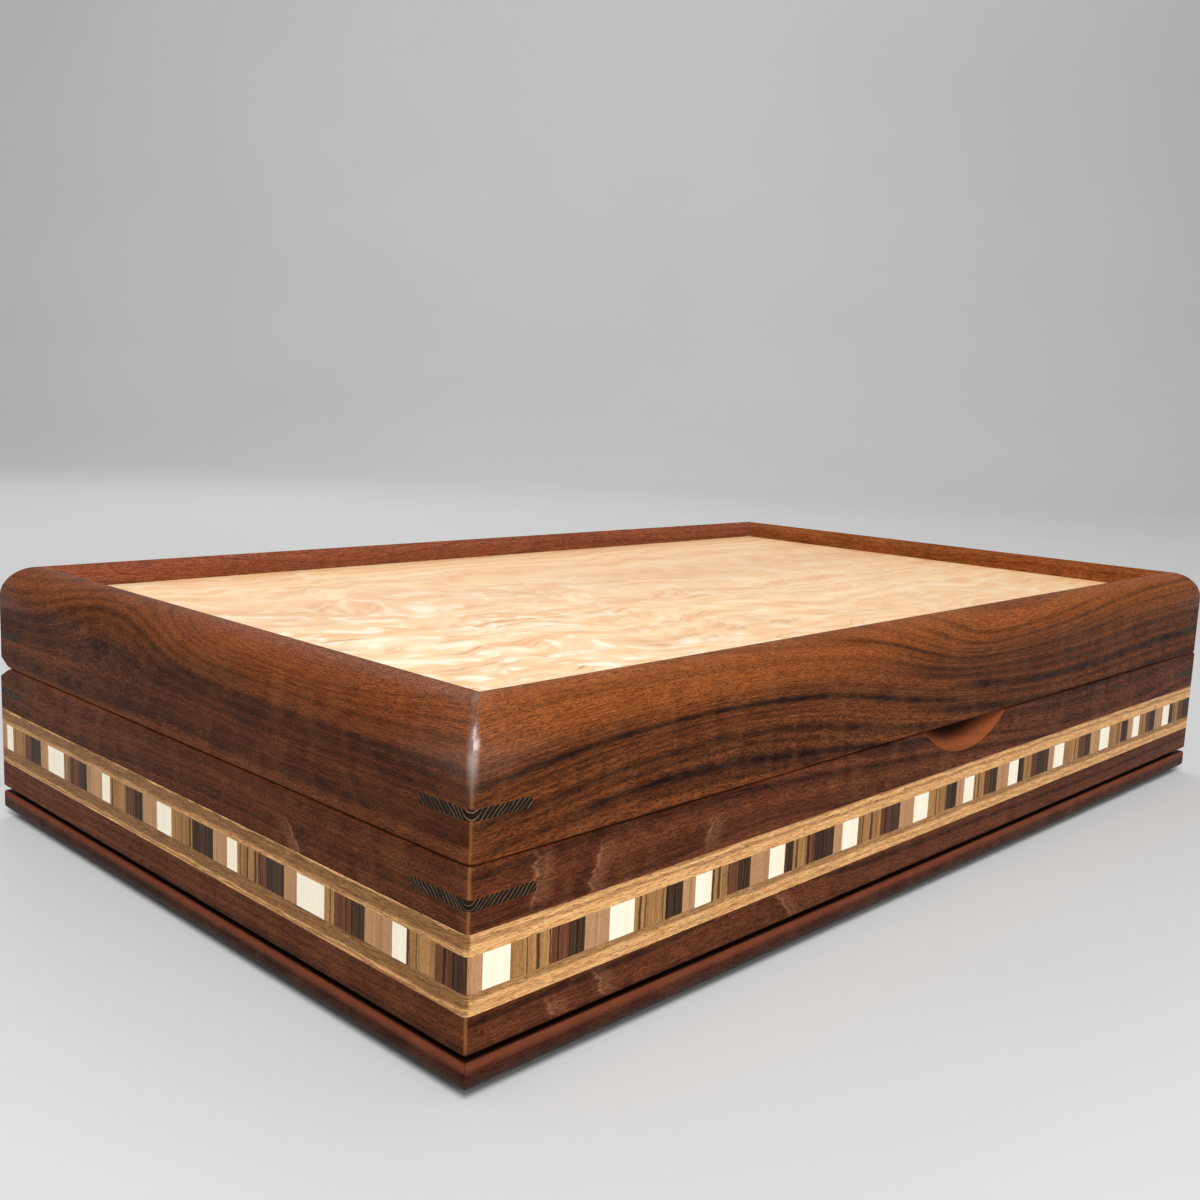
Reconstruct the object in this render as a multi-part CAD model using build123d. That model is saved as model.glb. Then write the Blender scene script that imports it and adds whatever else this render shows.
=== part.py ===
from build123d import *
import os

# Valet box: a walnut case and a hinged lid with a figured maple panel, on a low plinth.
# The walls and the lid rails are mitred and their corners are locked with ebony keys.
# A band of wood blocks between two borders is let into the case all the way round.
# Millimetres. The origin lies on the table under the middle of the box.
# +X runs along the length to the right, +Y to the back and +Z up.

# Case and lid
LENGTH = 380.0              # outside of case and lid, along X
DEPTH = 232.0               # outside of case and lid, along Y
STOCK = 12.0                # thickness of the walls and of the lid rails
CASE_HEIGHT = 39.5          # height of the case walls
LID_HEIGHT = 31.8           # from the lid's lower edge to the crest of its rails
SEAM_GAP = 0.2              # between case and lid
CORNER_RADIUS = 1.5         # eased upright corners
EDGE_BEVEL = 0.5            # eased edges along the seam and the foot of the walls
HINGE_BEVEL_DEPTH = 8.0     # bevel of the rear seam edges, from the back face inward
HINGE_BEVEL_RISE = 3.8      # the same bevel, up or down the back face

# Plinth, shadow gap and pads
PLINTH_HEIGHT = 7.0
PLINTH_WIDTH = 24.0
PLINTH_TOP_RADIUS = 1.5     # along its outer top edge, flush with the case
PLINTH_FOOT_RADIUS = 3.3    # along its outer lower edge
SPACER_HEIGHT = 1.5         # dark gap between plinth and case
SPACER_WIDTH = 6.0
SPACER_INSET = 3.5          # from the face of the case to the spacer
PAD_HEIGHT = 1.5
PAD_WIDTH = 14.0

# Inlay band
INLAY_THICKNESS = 2.0
BAND_LIFT = 8.5             # from the foot of the wall to the band
BORDER_HEIGHT = 4.7         # each of the two borders
BLOCK_HEIGHT = 7.9          # the row of blocks between them
GLUE_LINE = 0.05            # at the mitres of the band
# The blocks, as wood and width, run on from the front left corner and start again at the end.
LONG_SIDE_BLOCKS = (
    ("cherry", 4.1), ("maple", 7.4), ("zebrano", 11.5), ("rosewood", 5.1), ("ebony", 4.8),
    ("cherry", 7.7), ("maple", 7.9), ("zebrano", 10.6), ("ebony", 5.9),
    ("cherry", 4.6), ("maple", 6.0), ("zebrano", 6.6), ("rosewood", 3.5), ("ebony", 4.9),
    ("cherry", 7.7), ("maple", 6.4), ("ebony", 3.6), ("zebrano", 5.8), ("rosewood", 4.1),
    ("ebony", 8.4),
)
END_BLOCKS = (
    ("ebony", 4.4), ("rosewood", 5.6), ("zebrano", 9.4), ("maple", 4.9), ("cherry", 9.8),
    ("ebony", 4.4), ("rosewood", 7.1), ("zebrano", 3.8), ("maple", 11.1), ("cherry", 5.4),
    ("ebony", 7.4), ("rosewood", 4.1), ("zebrano", 9.4), ("maple", 4.7), ("cherry", 6.8),
    ("ebony", 10.4), ("zebrano", 11.0), ("maple", 7.9), ("cherry", 8.0),
)
SHORTEST_BLOCK = 2.0        # a shorter rest at the end of a side joins the block before it

# Corner keys: triangles let into the corners, seen as bars on both faces
KEY_THICKNESS = 2.4
CASE_KEY_LEG = 18.0
CASE_KEY_DROP = 7.8         # from the seam down to the middle of the key
LID_KEY_LEG = 16.0
LID_KEY_RISE = 10.3         # from the seam up to the middle of the key

# Finger recess in the top edge of the front wall
RECESS_WIDTH = 50.0         # along the seam
RECESS_OFFSET = 5.0         # to the right of the middle
RECESS_DROP = 9.5           # down the face of the wall
RECESS_BITE = 9.0           # into the top edge

# Lid
LID_ROUND_RADIUS = 10.0     # quarter round along the outer top edge
LID_HIP_RADIUS = 2.5        # softened hips where the rounds meet
INNER_BEVEL_WIDTH = 1.7
INNER_BEVEL_DROP = 2.3
PANEL_RISE = 24.7           # from the lid's lower edge to the top of the panel
PANEL_THICKNESS = 6.0
PANEL_TONGUE = 5.0          # depth of the groove that holds the panel
PANEL_PLAY = 0.8            # room for the panel to swell in the groove
LINING_THICKNESS = 1.2
LINING_PLAY = 0.4           # around each piece of lining

# Inside of the case
BOTTOM_LIFT = 5.0           # from the foot of the wall to the bottom panel
BOTTOM_THICKNESS = 5.0
BOTTOM_TONGUE = 5.0
BOTTOM_PLAY = 0.5
RUNNER_THICKNESS = 5.0
RUNNER_HEIGHT = 15.0        # from the bottom panel to the edge that carries the tray
DIVIDER_THICKNESS = 4.0
DIVIDER_HEIGHT = 14.0
DIVIDER_PLAY = 0.1          # in the half laps
CROSS_DIVIDERS = 2

# Sliding tray
TRAY_LENGTH = 170.0
TRAY_HEIGHT = 20.0
TRAY_WALL = 4.0
TRAY_FLOOR_LIFT = 2.0
TRAY_FLOOR = 3.0
TRAY_TONGUE = 2.0
TRAY_SIDE_PLAY = 0.6        # to the front and back walls
TRAY_END_PLAY = 1.0         # to the left and right walls
TRAY_RUNNING_GAP = 0.2      # above the runners
TRAY_DIVIDER_PLACE = 62.0   # from the tray's left end to its divider

# Hinges
HINGE_INSET = 70.0          # from the end of the case to the middle of a hinge
HINGE_LENGTH = 32.0
PIN_SETBACK = 3.0           # from the back face to the pin
BARREL_RADIUS = 2.8
PIN_RADIUS = 1.0
PIN_CLEARANCE = 0.05
KNUCKLES = 3
KNUCKLE_GAP = 0.2
LEAF_REACH = 8.0            # from the pin to the edge of a leaf
LEAF_THICKNESS = 1.4
GAIN_CLEARANCE = 0.3        # around barrel and leaves in the wood
SCREW_SPACING = 20.0
SCREW_RADIUS = 0.8
SCREW_LENGTH = 9.0          # below the head
SCREW_HEAD_RADIUS = 1.8
SCREW_CLEARANCE = 0.05

# Levels and inner sizes that follow
CASE_BOTTOM = PAD_HEIGHT + PLINTH_HEIGHT + SPACER_HEIGHT
CASE_TOP = CASE_BOTTOM + CASE_HEIGHT
LID_BOTTOM = CASE_TOP + SEAM_GAP
LID_TOP = LID_BOTTOM + LID_HEIGHT
CAVITY_LENGTH = LENGTH - 2 * STOCK
CAVITY_DEPTH = DEPTH - 2 * STOCK
BAND_BOTTOM = CASE_BOTTOM + BAND_LIFT
BLOCKS_BOTTOM = BAND_BOTTOM + BORDER_HEIGHT
BLOCKS_TOP = BLOCKS_BOTTOM + BLOCK_HEIGHT
BAND_HEIGHT = 2 * BORDER_HEIGHT + BLOCK_HEIGHT
FLOOR_BOTTOM = CASE_BOTTOM + BOTTOM_LIFT
FLOOR_TOP = FLOOR_BOTTOM + BOTTOM_THICKNESS
RUNNER_TOP = FLOOR_TOP + RUNNER_HEIGHT
COMPARTMENT_DEPTH = CAVITY_DEPTH - 2 * RUNNER_THICKNESS
DIVIDER_PITCH = CAVITY_LENGTH / (CROSS_DIVIDERS + 1)
PANEL_BOTTOM = LID_BOTTOM + PANEL_RISE - PANEL_THICKNESS
TRAY_BOTTOM = RUNNER_TOP + TRAY_RUNNING_GAP
TRAY_DEPTH = CAVITY_DEPTH - 2 * TRAY_SIDE_PLAY
TRAY_LEFT = -CAVITY_LENGTH / 2 + TRAY_END_PLAY
TRAY_MIDDLE = TRAY_LEFT + TRAY_LENGTH / 2
TRAY_FLOOR_BOTTOM = TRAY_BOTTOM + TRAY_FLOOR_LIFT
TRAY_FLOOR_TOP = TRAY_FLOOR_BOTTOM + TRAY_FLOOR
PIN_Y = DEPTH / 2 - PIN_SETBACK
PIN_Z = CASE_TOP + SEAM_GAP / 2
LEAF_FRONT = PIN_Y - LEAF_REACH
LEAF_BACK = PIN_Y - BARREL_RADIUS - KNUCKLE_GAP
SCREW_Y = (LEAF_FRONT + LEAF_BACK) / 2
BELOW = -1                  # leaves and screws of the case
ABOVE = 1                   # leaves and screws of the lid

parts = {}


def slab(length, depth, bottom, height, corner=0.0, middle=0.0):
    """Upright block on a rectangle, with rounded upright corners where corner is given."""
    outline = RectangleRounded(length, depth, corner) if corner else Rectangle(length, depth)
    return Pos(middle, 0, bottom) * extrude(outline, height)


def box_between(x, y, z):
    """Block between pairs of lowest and highest values."""
    size = Box(x[1] - x[0], y[1] - y[0], z[1] - z[0], align=(Align.MIN, Align.MIN, Align.MIN))
    return Pos(x[0], y[0], z[0]) * size


def group(solids):
    """Separate solids in one node."""
    return Compound(children=list(solids))


def mitred_sides(ring, length, depth, width, middle=0.0, joint=0.0):
    """Cut a rectangular ring of the given size into its four mitred sides."""
    out_x = length / 2 + width
    out_y = depth / 2 + width
    in_x = length / 2 - 2 * width
    in_y = depth / 2 - 2 * width
    shift = joint / 2
    outlines = {
        "front": ((-out_x + shift, -out_y), (out_x - shift, -out_y),
                  (in_x - shift, -in_y), (-in_x + shift, -in_y)),
        "back": ((-in_x + shift, in_y), (in_x - shift, in_y),
                 (out_x - shift, out_y), (-out_x + shift, out_y)),
        "left": ((-out_x, -out_y + shift), (-in_x, -in_y + shift),
                 (-in_x, in_y - shift), (-out_x, out_y - shift)),
        "right": ((in_x, -in_y + shift), (out_x, -out_y + shift),
                  (out_x, out_y - shift), (in_x, in_y - shift)),
    }
    sides = {}
    for side, corners in outlines.items():
        wedge = Pos(middle, 0, 0) * extrude(Polygon(*corners, align=None), LID_TOP)
        sides[side] = ring & wedge
    return sides


def eased_block(bottom, height):
    """Solid outline of case or lid, with eased corners, foot and seam edges."""
    block = slab(LENGTH, DEPTH, bottom, height, CORNER_RADIUS)
    flat_rims = block.edges().group_by(Axis.Z)
    return chamfer(flat_rims[0] + flat_rims[-1], EDGE_BEVEL)


def hinge_bevel(seam, direction):
    """Wedge off the rear seam edge, so that the lid has room to lean back."""
    back = DEPTH / 2
    outline = Polygon(
        (back - HINGE_BEVEL_DEPTH, 0),
        (back + HINGE_BEVEL_DEPTH, direction * 2 * HINGE_BEVEL_RISE),
        (back + HINGE_BEVEL_DEPTH, 0),
        align=None,
    )
    across = Plane(origin=(-LENGTH, 0, seam), x_dir=(0, 1, 0), z_dir=(1, 0, 0))
    return extrude(across * outline, 2 * LENGTH, dir=(1, 0, 0))


def key_prisms(level, leg):
    """Four triangular prisms at the corners, before they are trimmed to the outline."""
    prisms = []
    for sx in (-1, 1):
        for sy in (-1, 1):
            corner_x = sx * LENGTH / 2
            corner_y = sy * DEPTH / 2
            triangle = Polygon(
                (corner_x + sx * leg, corner_y + sy * leg),
                (corner_x - sx * 2 * leg, corner_y + sy * leg),
                (corner_x + sx * leg, corner_y - sy * 2 * leg),
                align=None,
            )
            prism = extrude(triangle, KEY_THICKNESS, dir=(0, 0, 1))
            prisms.append(Pos(0, 0, level - KEY_THICKNESS / 2) * prism)
    return prisms


def band_ring(bottom, height):
    """Shallow ring in the outer face of the case."""
    outer = slab(LENGTH, DEPTH, bottom, height, CORNER_RADIUS)
    inner = slab(LENGTH - 2 * INLAY_THICKNESS, DEPTH - 2 * INLAY_THICKNESS, bottom, height)
    return outer - inner


def finger_recess():
    """Ball that scoops the recess out of the front wall's top edge."""
    # The ball meets the face in a circle through the recess's two ends and its lowest point,
    # and meets the top edge in a circle through the same ends and the deepest point.
    half = RECESS_WIDTH / 2
    rise = (half * half - RECESS_DROP * RECESS_DROP) / (2 * RECESS_DROP)
    forward = (half * half - RECESS_BITE * RECESS_BITE) / (2 * RECESS_BITE)
    radius = (half * half + rise * rise + forward * forward) ** 0.5
    return Pos(RECESS_OFFSET, -DEPTH / 2 - forward, CASE_TOP + rise) * Sphere(radius)


def hinge_places():
    """X of the two hinges."""
    place = LENGTH / 2 - HINGE_INSET
    return (-place, place)


def screw_places():
    """X of all screws in one member."""
    return [x + s * SCREW_SPACING / 2 for x in hinge_places() for s in (-1, 1)]


def leaf_face(direction):
    """Level of a leaf's open face, flush with the wood."""
    return CASE_TOP if direction == BELOW else LID_BOTTOM


def levels(face, direction, depth):
    """Lowest and highest level of something that goes depth into case or lid."""
    return tuple(sorted((face, face + direction * depth)))


def rod(x, y, z, radius, length):
    """Cylinder along X, centred."""
    return Pos(x, y, z) * Rot(0, 90, 0) * Cylinder(radius, length)


def screw(x, direction, play=0.0):
    """Countersunk screw, or with play the hole that it goes into."""
    # The head is as deep as the leaf, and the shank is six-sided in place of a thread.
    head = Cone(SCREW_RADIUS + play, SCREW_HEAD_RADIUS + play, LEAF_THICKNESS)
    shank = extrude(RegularPolygon(SCREW_RADIUS + play, 6), SCREW_LENGTH, dir=(0, 0, -1))
    body = Pos(0, 0, -LEAF_THICKNESS / 2) * head + Pos(0, 0, -LEAF_THICKNESS) * shank
    turned = body if direction == BELOW else Rot(180, 0, 0) * body
    return Pos(x, SCREW_Y, leaf_face(direction)) * turned


def hinge_leaf(x, direction):
    """Leaf with its knuckles: the outer two below, the middle one above."""
    face = leaf_face(direction)
    z = levels(face, direction, LEAF_THICKNESS)
    half = HINGE_LENGTH / 2
    leaf = box_between((x - half, x + half), (LEAF_FRONT, LEAF_BACK), z)
    pitch = HINGE_LENGTH / KNUCKLES
    width = pitch - KNUCKLE_GAP
    first = 0 if direction == BELOW else 1
    for number in range(first, KNUCKLES, 2):
        middle = x - half + (number + 0.5) * pitch
        span = (middle - width / 2, middle + width / 2)
        leaf += box_between(span, (LEAF_BACK - KNUCKLE_GAP, PIN_Y), z)
        leaf += rod(middle, PIN_Y, PIN_Z, BARREL_RADIUS, width)
    leaf -= rod(x, PIN_Y, PIN_Z, PIN_RADIUS + PIN_CLEARANCE, HINGE_LENGTH + 2)
    for place in screw_places():
        leaf -= screw(place, direction, SCREW_CLEARANCE)
    return leaf


def hinge_gains(direction):
    """Wood taken away for the leaves, the barrels and the screws."""
    face = leaf_face(direction)
    half = HINGE_LENGTH / 2 + GAIN_CLEARANCE
    z = levels(face, direction, LEAF_THICKNESS)
    gains = []
    for x in hinge_places():
        room = (LEAF_FRONT - GAIN_CLEARANCE, DEPTH / 2 + 1)
        gains.append(box_between((x - half, x + half), room, z))
        gains.append(rod(x, PIN_Y, PIN_Z, BARREL_RADIUS + GAIN_CLEARANCE, 2 * half))
    for place in screw_places():
        gains.append(screw(place, direction, SCREW_CLEARANCE))
    return gains


def make_case():
    """The four walls, their corner keys and the bottom panel."""
    outline = eased_block(CASE_BOTTOM, CASE_HEIGHT) - hinge_bevel(CASE_TOP, BELOW)
    ring = outline - slab(CAVITY_LENGTH, CAVITY_DEPTH, CASE_BOTTOM, CASE_HEIGHT)
    groove = 2 * BOTTOM_TONGUE
    ring -= slab(CAVITY_LENGTH + groove, CAVITY_DEPTH + groove, FLOOR_BOTTOM, BOTTOM_THICKNESS)
    ring -= band_ring(BAND_BOTTOM, BAND_HEIGHT)
    ring -= finger_recess()
    ring -= hinge_gains(BELOW)
    keys = key_prisms(CASE_TOP - CASE_KEY_DROP, CASE_KEY_LEG)
    ring -= keys
    for side, wall in mitred_sides(ring, LENGTH, DEPTH, STOCK).items():
        parts[side + "_wall"] = wall
    parts["case_corner_keys"] = group(key & outline for key in keys)
    tongue = 2 * (BOTTOM_TONGUE - BOTTOM_PLAY)
    parts["case_bottom"] = slab(
        CAVITY_LENGTH + tongue, CAVITY_DEPTH + tongue, FLOOR_BOTTOM, BOTTOM_THICKNESS)


def block_spans(pattern, length):
    """Wood, start and end of each block along a side."""
    spans = []
    start = 0.0
    while start < length:
        for wood, width in pattern:
            end = min(start + width, length)
            if length - end < SHORTEST_BLOCK:
                end = length
            if end > start:
                spans.append((wood, start, end))
            start = end
    return spans


def make_band():
    """Two borders of four mitred strips, and the blocks between them, grouped by wood."""
    for name, bottom in (("lower_border", BAND_BOTTOM), ("upper_border", BLOCKS_TOP)):
        ring = band_ring(bottom, BORDER_HEIGHT)
        strips = mitred_sides(ring, LENGTH, DEPTH, INLAY_THICKNESS, joint=GLUE_LINE)
        parts["band_" + name] = group(strips.values())
    ring = band_ring(BLOCKS_BOTTOM, BLOCK_HEIGHT)
    strips = mitred_sides(ring, LENGTH, DEPTH, INLAY_THICKNESS, joint=GLUE_LINE)
    woods = {}
    for side, strip in strips.items():
        along_x = side in ("front", "back")
        length = LENGTH if along_x else DEPTH
        pattern = LONG_SIDE_BLOCKS if along_x else END_BLOCKS
        for wood, start, end in block_spans(pattern, length):
            span = (start - length / 2, end - length / 2)
            x = span if along_x else (-LENGTH, LENGTH)
            y = (-DEPTH, DEPTH) if along_x else span
            cutter = box_between(x, y, (BLOCKS_BOTTOM, BLOCKS_TOP))
            woods.setdefault(wood, []).append(strip & cutter)
    for wood, blocks in woods.items():
        parts[wood + "_blocks"] = group(blocks)


def plinth_ring():
    """Frame of mouldings, rounded more at the foot than at the top."""
    block = slab(LENGTH, DEPTH, PAD_HEIGHT, PLINTH_HEIGHT)
    block = fillet(block.edges().group_by(Axis.Z)[0], PLINTH_FOOT_RADIUS)
    block = fillet(block.edges().group_by(Axis.Z)[-1], PLINTH_TOP_RADIUS)
    block &= slab(LENGTH, DEPTH, PAD_HEIGHT, PLINTH_HEIGHT, CORNER_RADIUS)
    inside = (LENGTH - 2 * PLINTH_WIDTH, DEPTH - 2 * PLINTH_WIDTH)
    return block - slab(inside[0], inside[1], PAD_HEIGHT, PLINTH_HEIGHT)


def make_base():
    """Plinth mouldings, the dark spacer strips above them and the felt pads below."""
    for side, moulding in mitred_sides(plinth_ring(), LENGTH, DEPTH, PLINTH_WIDTH).items():
        parts["plinth_" + side] = moulding
    spacer_length = LENGTH - 2 * SPACER_INSET
    spacer_depth = DEPTH - 2 * SPACER_INSET
    bottom = PAD_HEIGHT + PLINTH_HEIGHT
    ring = slab(spacer_length, spacer_depth, bottom, SPACER_HEIGHT)
    inside = (spacer_length - 2 * SPACER_WIDTH, spacer_depth - 2 * SPACER_WIDTH)
    ring -= slab(inside[0], inside[1], bottom, SPACER_HEIGHT)
    strips = mitred_sides(ring, spacer_length, spacer_depth, SPACER_WIDTH, joint=GLUE_LINE)
    parts["spacer_strips"] = group(strips.values())
    reach_x = (LENGTH - PLINTH_WIDTH) / 2
    reach_y = (DEPTH - PLINTH_WIDTH) / 2
    pad = slab(PAD_WIDTH, PAD_WIDTH, 0, PAD_HEIGHT)
    corners = [(sx * reach_x, sy * reach_y) for sx in (-1, 1) for sy in (-1, 1)]
    parts["felt_pads"] = group(Pos(x, y, 0) * pad for x, y in corners)


def divider_places():
    """X of the cross dividers."""
    return [(number - (CROSS_DIVIDERS + 1) / 2) * DIVIDER_PITCH
            for number in range(1, CROSS_DIVIDERS + 1)]


def make_compartments():
    """Tray runners, half-lapped dividers and a piece of lining in each compartment."""
    top = FLOOR_TOP + DIVIDER_HEIGHT
    middle = FLOOR_TOP + DIVIDER_HEIGHT / 2
    half = DIVIDER_THICKNESS / 2
    lap = half + DIVIDER_PLAY
    reach_x = CAVITY_LENGTH / 2
    reach_y = CAVITY_DEPTH / 2
    room_y = COMPARTMENT_DEPTH / 2
    level = (FLOOR_TOP, RUNNER_TOP)
    parts["tray_runner_front"] = box_between((-reach_x, reach_x), (-reach_y, -room_y), level)
    parts["tray_runner_back"] = box_between((-reach_x, reach_x), (room_y, reach_y), level)
    long_divider = box_between((-reach_x, reach_x), (-half, half), (FLOOR_TOP, top))
    cross = []
    for x in divider_places():
        long_divider -= box_between((x - lap, x + lap), (-half, half), (middle, top))
        board = box_between((x - half, x + half), (-room_y, room_y), (FLOOR_TOP, top))
        lap_level = (FLOOR_TOP, middle + DIVIDER_PLAY)
        cross.append(board - box_between((x - half, x + half), (-lap, lap), lap_level))
    parts["long_divider"] = long_divider
    parts["cross_dividers"] = group(cross)
    edges = [-reach_x - half] + divider_places() + [reach_x + half]
    linings = []
    for left, right in zip(edges, edges[1:]):
        x = (left + half + LINING_PLAY, right - half - LINING_PLAY)
        for side in (-1, 1):
            y = sorted((side * (half + LINING_PLAY), side * (room_y - LINING_PLAY)))
            linings.append(box_between(x, y, (FLOOR_TOP, FLOOR_TOP + LINING_THICKNESS)))
    parts["compartment_linings"] = group(linings)


def lid_block():
    """Solid outline of the lid, with its quarter round, softened hips and eased seam edge."""
    block = slab(LENGTH, DEPTH, LID_BOTTOM, LID_HEIGHT)
    block = fillet(block.edges().group_by(Axis.Z)[-1], LID_ROUND_RADIUS)
    at_corners = block.edges().filter_by(
        lambda edge: abs(edge.center().X) > LENGTH / 2 - LID_ROUND_RADIUS
        and abs(edge.center().Y) > DEPTH / 2 - LID_ROUND_RADIUS)
    block = fillet(at_corners, LID_HIP_RADIUS)
    return chamfer(block.edges().group_by(Axis.Z)[0], EDGE_BEVEL)


def panel_well():
    """Room above the panel, with the bevel along the rails' inner top edge."""
    foot = LID_TOP - INNER_BEVEL_DROP
    spread = 2 * INNER_BEVEL_WIDTH
    low = Pos(0, 0, foot) * Rectangle(CAVITY_LENGTH, CAVITY_DEPTH)
    high = Pos(0, 0, LID_TOP) * Rectangle(CAVITY_LENGTH + spread, CAVITY_DEPTH + spread)
    return loft([low, high])


def make_lid():
    """The four rails, their keys, the panel and its lining."""
    outline = lid_block() - hinge_bevel(LID_BOTTOM, ABOVE)
    ring = outline - slab(CAVITY_LENGTH, CAVITY_DEPTH, LID_BOTTOM, LID_HEIGHT)
    ring -= panel_well()
    groove = 2 * PANEL_TONGUE
    ring -= slab(CAVITY_LENGTH + groove, CAVITY_DEPTH + groove, PANEL_BOTTOM, PANEL_THICKNESS)
    ring -= hinge_gains(ABOVE)
    keys = key_prisms(LID_BOTTOM + LID_KEY_RISE, LID_KEY_LEG)
    ring -= keys
    for side, rail in mitred_sides(ring, LENGTH, DEPTH, STOCK).items():
        parts["lid_" + side + "_rail"] = rail
    parts["lid_corner_keys"] = group(key & outline for key in keys)
    tongue = 2 * (PANEL_TONGUE - PANEL_PLAY)
    parts["lid_panel"] = slab(
        CAVITY_LENGTH + tongue, CAVITY_DEPTH + tongue, PANEL_BOTTOM, PANEL_THICKNESS)
    play = 2 * LINING_PLAY
    parts["lid_lining"] = slab(
        CAVITY_LENGTH - play, CAVITY_DEPTH - play, PANEL_BOTTOM - LINING_THICKNESS,
        LINING_THICKNESS)


def make_hinges():
    """Two brass butt hinges with their pins and screws."""
    for name, direction in (("case", BELOW), ("lid", ABOVE)):
        leaves = [hinge_leaf(x, direction) for x in hinge_places()]
        screws = [screw(x, direction) for x in screw_places()]
        parts["hinge_leaves_" + name] = group(leaves)
        parts["hinge_screws_" + name] = group(screws)
    pins = [rod(x, PIN_Y, PIN_Z, PIN_RADIUS, HINGE_LENGTH) for x in hinge_places()]
    parts["hinge_pins"] = group(pins)


def make_tray():
    """Half-length tray: four mitred walls, a floor, one divider and two pieces of lining."""
    inside_length = TRAY_LENGTH - 2 * TRAY_WALL
    inside_depth = TRAY_DEPTH - 2 * TRAY_WALL
    ring = slab(TRAY_LENGTH, TRAY_DEPTH, TRAY_BOTTOM, TRAY_HEIGHT, middle=TRAY_MIDDLE)
    ring -= slab(inside_length, inside_depth, TRAY_BOTTOM, TRAY_HEIGHT, middle=TRAY_MIDDLE)
    floor_size = (inside_length + 2 * TRAY_TONGUE, inside_depth + 2 * TRAY_TONGUE)
    floor = slab(*floor_size, TRAY_FLOOR_BOTTOM, TRAY_FLOOR, middle=TRAY_MIDDLE)
    ring -= floor
    sides = mitred_sides(ring, TRAY_LENGTH, TRAY_DEPTH, TRAY_WALL, middle=TRAY_MIDDLE)
    for side, wall in sides.items():
        parts["tray_" + side] = wall
    parts["tray_floor"] = floor
    half = DIVIDER_THICKNESS / 2
    divider_x = TRAY_LEFT + TRAY_DIVIDER_PLACE
    reach_y = inside_depth / 2
    divider_top = TRAY_BOTTOM + TRAY_HEIGHT - TRAY_WALL
    parts["tray_divider"] = box_between(
        (divider_x - half, divider_x + half), (-reach_y, reach_y), (TRAY_FLOOR_TOP, divider_top))
    ends = ((TRAY_LEFT + TRAY_WALL, divider_x - half),
            (divider_x + half, TRAY_LEFT + TRAY_LENGTH - TRAY_WALL))
    y = (-reach_y + LINING_PLAY, reach_y - LINING_PLAY)
    z = (TRAY_FLOOR_TOP, TRAY_FLOOR_TOP + LINING_THICKNESS)
    parts["tray_linings"] = group(
        box_between((left + LINING_PLAY, right - LINING_PLAY), y, z) for left, right in ends)


make_case()
make_band()
make_base()
make_compartments()
make_lid()
make_hinges()
make_tray()

os.makedirs("parts", exist_ok=True)
for name, shape in parts.items():
    export_step(shape, "parts/" + name + ".step")
print(len(parts), "nodes")
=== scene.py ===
import math

import bmesh
import bpy
from mathutils import Matrix, Vector, noise


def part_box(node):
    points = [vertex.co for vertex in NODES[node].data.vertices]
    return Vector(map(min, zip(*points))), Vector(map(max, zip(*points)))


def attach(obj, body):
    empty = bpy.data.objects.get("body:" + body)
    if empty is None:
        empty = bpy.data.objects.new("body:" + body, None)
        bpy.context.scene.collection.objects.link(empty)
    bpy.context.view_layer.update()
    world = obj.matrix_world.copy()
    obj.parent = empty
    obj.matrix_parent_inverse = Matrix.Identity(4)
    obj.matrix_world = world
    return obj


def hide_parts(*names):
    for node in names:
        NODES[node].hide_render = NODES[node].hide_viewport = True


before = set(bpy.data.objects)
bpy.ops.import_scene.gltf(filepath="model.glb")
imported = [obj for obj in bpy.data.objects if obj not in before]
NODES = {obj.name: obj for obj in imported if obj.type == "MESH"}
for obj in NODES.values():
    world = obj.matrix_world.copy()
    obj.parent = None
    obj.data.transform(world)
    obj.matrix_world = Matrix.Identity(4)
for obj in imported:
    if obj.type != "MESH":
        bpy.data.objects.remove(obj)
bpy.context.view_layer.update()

# A walnut valet box with a figured maple lid panel, an inlaid band and ebony corner keys.
# Metres, in the frame of the model: +X along the length, +Y to the hinged back, +Z up.
# Inside the finishes lengths are millimetres, because grain and pores are that small.

METRE = 1000.0
HALF_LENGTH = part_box("right_wall")[1].x * METRE
HALF_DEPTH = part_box("back_wall")[1].y * METRE
FRONT_FACE = -HALF_DEPTH
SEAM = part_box("front_wall")[1].z * METRE
LOWER_BORDER = [corner.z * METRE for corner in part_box("band_lower_border")]
UPPER_BORDER = [corner.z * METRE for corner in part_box("band_upper_border")]


# Nodes

def shade(code):
    """Colour of a six digit hexadecimal code, as linear light."""
    channels = [int(code[place:place + 2], 16) / 255 for place in (0, 2, 4)]
    linear = [((c + 0.055) / 1.055) ** 2.4 if c > 0.04045 else c / 12.92 for c in channels]
    return (*linear, 1)


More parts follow.
